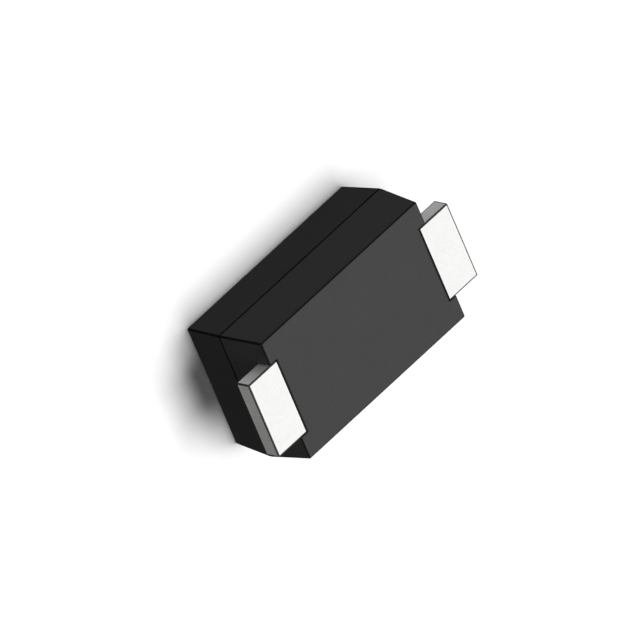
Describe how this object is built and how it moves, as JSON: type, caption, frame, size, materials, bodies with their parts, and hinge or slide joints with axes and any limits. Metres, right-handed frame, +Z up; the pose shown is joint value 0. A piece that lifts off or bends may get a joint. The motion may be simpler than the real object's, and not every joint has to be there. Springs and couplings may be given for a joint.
{
  "type": "tvs diode",
  "caption": "Surface-mount TVS diode: drafted black moulding on flat tinned leads that lie flush with its underside, round a soldered avalanche chip.",
  "frame": {"origin": "centre of the footprint, in the plane of the feet's soldered faces", "axes": "+X along the part from the cathode lead to the anode lead, +Y across it, +Z up from the board to the moulding's top"},
  "size_m": [0.0052, 0.0026, 0.0018],
  "materials": {
    "moulding_compound": "matte black filled epoxy with a fine spark-eroded mould grain",
    "tinned_copper": "matte electroplated tin over copper alloy",
    "silicon": "lapped, dull grey",
    "passivation_glass": "fused, milky",
    "die_solder": "satin, as reflowed"
  },
  "bodies": {
    "root": {"moulded_body": "moulding_compound", "cathode_lead": "tinned_copper", "anode_lead": "tinned_copper", "silicon_die": "silicon", "passivation_glass": "passivation_glass", "cathode_solder": "die_solder", "anode_solder": "die_solder"}
  },
  "joints": []
}
